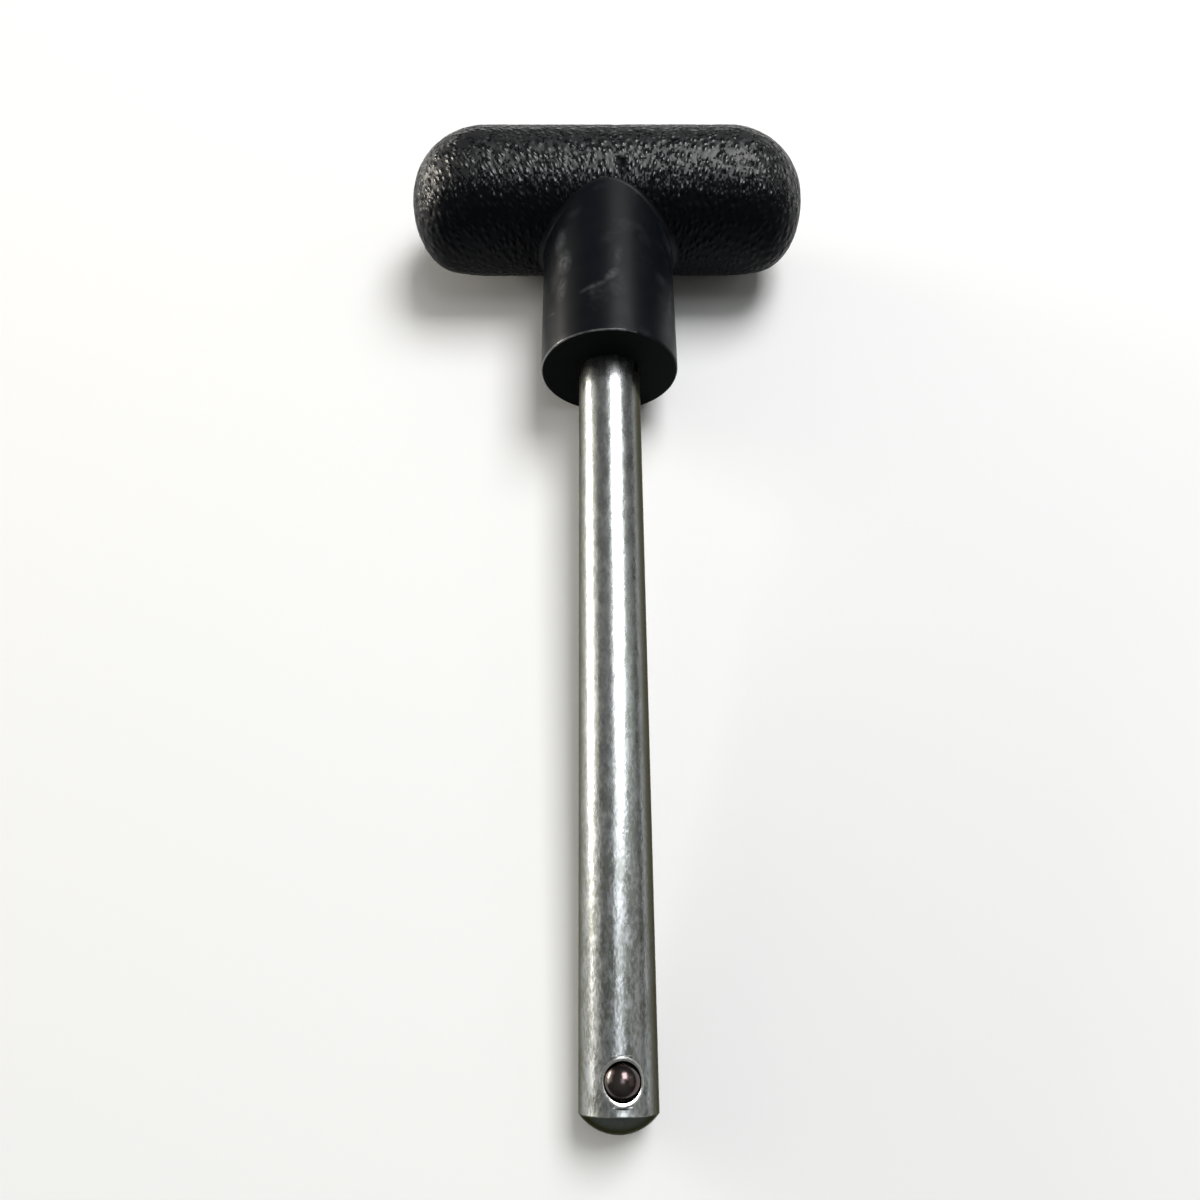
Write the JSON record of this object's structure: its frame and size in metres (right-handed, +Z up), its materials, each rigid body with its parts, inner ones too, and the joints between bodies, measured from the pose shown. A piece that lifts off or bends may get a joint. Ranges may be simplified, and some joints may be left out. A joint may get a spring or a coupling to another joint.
{
  "type": "weight stack pin",
  "caption": "Weight stack selector pin: a moulded T-shaped grip on a round steel shank, with a sprung detent ball near the crowned tip.",
  "frame": {"origin": "on the resting surface, under the middle of the pin's bounding box", "axes": "the pin lies on its back: +Y runs from the tip to the grip, +X along the grip's bar and +Z up, on the ball's side; the shank slopes down to the tip by about three degrees"},
  "size_m": [0.069, 0.1602, 0.0258],
  "materials": {
    "grip_plastic": "black, leather-grained bar and smooth satin hub",
    "zinc_plated_steel": "bright zinc plating with a faint mottle",
    "dark_bearing_steel": "polished, dark",
    "spring_steel": "drawn wire"
  },
  "bodies": {
    "pin": {"grip": "grip_plastic", "shank": "zinc_plated_steel", "detent_spring": "spring_steel"},
    "ball": {"detent_ball": "dark_bearing_steel"}
  },
  "joints": [
    {"name": "detent_press", "type": "slide", "parent": "pin", "child": "ball", "axis": [-0.0872, 0.057, -0.9946], "range_m": [0, 0.0008], "stiffness_N_per_m": 2500, "springref_m": -0.0012, "deforming": ["detent_spring"]}
  ]
}
